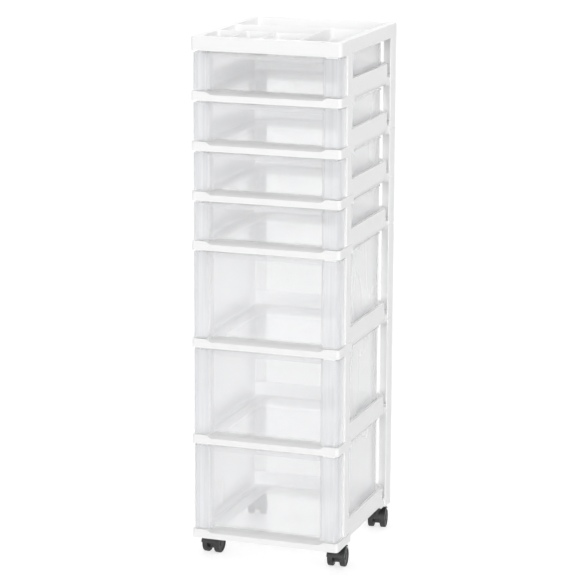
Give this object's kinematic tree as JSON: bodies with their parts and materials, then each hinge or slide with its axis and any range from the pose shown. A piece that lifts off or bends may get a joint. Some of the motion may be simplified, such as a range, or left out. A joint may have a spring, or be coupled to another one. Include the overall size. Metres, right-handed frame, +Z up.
{
  "type": "rolling plastic drawer tower",
  "caption": "White plastic storage tower on swivel casters, with clear sliding drawers, shallow above and deep below, and a pocketed organiser top.",
  "frame": {"origin": "on the floor under the middle of the tower's width and depth", "axes": "+Z up; +X to the right as seen from the front; the drawers open towards -Y"},
  "size_m": [0.3091, 0.362, 1.055],
  "materials": {
    "white_plastic": "satin moulded polypropylene",
    "clear_plastic": "clear moulded, slightly frosted",
    "caster_black": "satin black moulded nylon",
    "wheel_black": "matt black moulded nylon",
    "steel": "plain turned"
  },
  "bodies": {
    "frame": {"top_organiser": "white_plastic", "base_tray": "white_plastic", "caster_stems": "steel", "shelf_tray_1": "white_plastic", "shelf_tray_2": "white_plastic", "shelf_tray_3": "white_plastic", "shelf_tray_4": "white_plastic", "shelf_tray_5": "white_plastic", "shelf_tray_6": "white_plastic", "front_left_post_1": "white_plastic", "rear_left_post_1": "white_plastic", "front_right_post_1": "white_plastic", "rear_right_post_1": "white_plastic", "front_left_post_2": "white_plastic", "rear_left_post_2": "white_plastic", "front_right_post_2": "white_plastic", "rear_right_post_2": "white_plastic", "front_left_post_3": "white_plastic", "rear_left_post_3": "white_plastic", "front_right_post_3": "white_plastic", "rear_right_post_3": "white_plastic", "front_left_post_4": "white_plastic", "rear_left_post_4": "white_plastic", "front_right_post_4": "white_plastic", "rear_right_post_4": "white_plastic", "front_left_post_5": "white_plastic", "rear_left_post_5": "white_plastic", "front_right_post_5": "white_plastic", "rear_right_post_5": "white_plastic", "front_left_post_6": "white_plastic", "rear_left_post_6": "white_plastic", "front_right_post_6": "white_plastic", "rear_right_post_6": "white_plastic", "front_left_post_7": "white_plastic", "rear_left_post_7": "white_plastic", "front_right_post_7": "white_plastic", "rear_right_post_7": "white_plastic"},
    "drawer_1": {"drawer_1": "clear_plastic"},
    "drawer_2": {"drawer_2": "clear_plastic"},
    "drawer_3": {"drawer_3": "clear_plastic"},
    "drawer_4": {"drawer_4": "clear_plastic"},
    "drawer_5": {"drawer_5": "clear_plastic"},
    "drawer_6": {"drawer_6": "clear_plastic"},
    "drawer_7": {"drawer_7": "clear_plastic"},
    "front_left_caster": {"front_left_caster_housing": "caster_black", "front_left_caster_axle": "steel"},
    "front_left_caster_wheel_left": {"front_left_caster_wheel_left": "wheel_black"},
    "front_left_caster_wheel_right": {"front_left_caster_wheel_right": "wheel_black"},
    "front_right_caster": {"front_right_caster_housing": "caster_black", "front_right_caster_axle": "steel"},
    "front_right_caster_wheel_left": {"front_right_caster_wheel_left": "wheel_black"},
    "front_right_caster_wheel_right": {"front_right_caster_wheel_right": "wheel_black"},
    "rear_left_caster": {"rear_left_caster_housing": "caster_black", "rear_left_caster_axle": "steel"},
    "rear_left_caster_wheel_left": {"rear_left_caster_wheel_left": "wheel_black"},
    "rear_left_caster_wheel_right": {"rear_left_caster_wheel_right": "wheel_black"},
    "rear_right_caster": {"rear_right_caster_housing": "caster_black", "rear_right_caster_axle": "steel"},
    "rear_right_caster_wheel_left": {"rear_right_caster_wheel_left": "wheel_black"},
    "rear_right_caster_wheel_right": {"rear_right_caster_wheel_right": "wheel_black"}
  },
  "joints": [
    {"name": "drawer_1_slide", "type": "slide", "parent": "frame", "child": "drawer_1", "axis": [0, -1, 0], "range_m": [0, 0.26]},
    {"name": "drawer_2_slide", "type": "slide", "parent": "frame", "child": "drawer_2", "axis": [0, -1, 0], "range_m": [0, 0.26]},
    {"name": "drawer_3_slide", "type": "slide", "parent": "frame", "child": "drawer_3", "axis": [0, -1, 0], "range_m": [0, 0.26]},
    {"name": "drawer_4_slide", "type": "slide", "parent": "frame", "child": "drawer_4", "axis": [0, -1, 0], "range_m": [0, 0.26]},
    {"name": "drawer_5_slide", "type": "slide", "parent": "frame", "child": "drawer_5", "axis": [0, -1, 0], "range_m": [0, 0.26]},
    {"name": "drawer_6_slide", "type": "slide", "parent": "frame", "child": "drawer_6", "axis": [0, -1, 0], "range_m": [0, 0.26]},
    {"name": "drawer_7_slide", "type": "slide", "parent": "frame", "child": "drawer_7", "axis": [0, -1, 0], "range_m": [0, 0.26]},
    {"name": "front_left_swivel", "type": "hinge", "parent": "frame", "child": "front_left_caster", "pos_m": [-0.133, -0.128, 0.0465], "axis": [0, 0, 1], "continuous": true},
    {"name": "front_left_left_wheel_spin", "type": "hinge", "parent": "front_left_caster", "child": "front_left_caster_wheel_left", "pos_m": [-0.13221, -0.11302, 0.02], "axis": [0.9986, -0.0523, 0], "continuous": true},
    {"name": "front_left_right_wheel_spin", "type": "hinge", "parent": "front_left_caster", "child": "front_left_caster_wheel_right", "pos_m": [-0.13221, -0.11302, 0.02], "axis": [0.9986, -0.0523, 0], "continuous": true},
    {"name": "front_right_swivel", "type": "hinge", "parent": "frame", "child": "front_right_caster", "pos_m": [0.133, -0.128, 0.0465], "axis": [0, 0, 1], "continuous": true},
    {"name": "front_right_left_wheel_spin", "type": "hinge", "parent": "front_right_caster", "child": "front_right_caster_wheel_left", "pos_m": [0.13169, -0.11306, 0.02], "axis": [0.9962, 0.0872, 0], "continuous": true},
    {"name": "front_right_right_wheel_spin", "type": "hinge", "parent": "front_right_caster", "child": "front_right_caster_wheel_right", "pos_m": [0.13169, -0.11306, 0.02], "axis": [0.9962, 0.0872, 0], "continuous": true},
    {"name": "rear_left_swivel", "type": "hinge", "parent": "frame", "child": "rear_left_caster", "pos_m": [-0.133, 0.142, 0.0465], "axis": [0, 0, 1], "continuous": true},
    {"name": "rear_left_left_wheel_spin", "type": "hinge", "parent": "rear_left_caster", "child": "rear_left_caster_wheel_left", "pos_m": [-0.13535, 0.15682, 0.02], "axis": [0.9877, 0.1564, 0], "continuous": true},
    {"name": "rear_left_right_wheel_spin", "type": "hinge", "parent": "rear_left_caster", "child": "rear_left_caster_wheel_right", "pos_m": [-0.13535, 0.15682, 0.02], "axis": [0.9877, 0.1564, 0], "continuous": true},
    {"name": "rear_right_swivel", "type": "hinge", "parent": "frame", "child": "rear_right_caster", "pos_m": [0.133, 0.142, 0.0465], "axis": [0, 0, 1], "continuous": true},
    {"name": "rear_right_left_wheel_spin", "type": "hinge", "parent": "rear_right_caster", "child": "rear_right_caster_wheel_left", "pos_m": [0.13117, 0.15689, 0.02], "axis": [0.9925, 0.1219, 0], "continuous": true},
    {"name": "rear_right_right_wheel_spin", "type": "hinge", "parent": "rear_right_caster", "child": "rear_right_caster_wheel_right", "pos_m": [0.13117, 0.15689, 0.02], "axis": [0.9925, 0.1219, 0], "continuous": true}
  ]
}
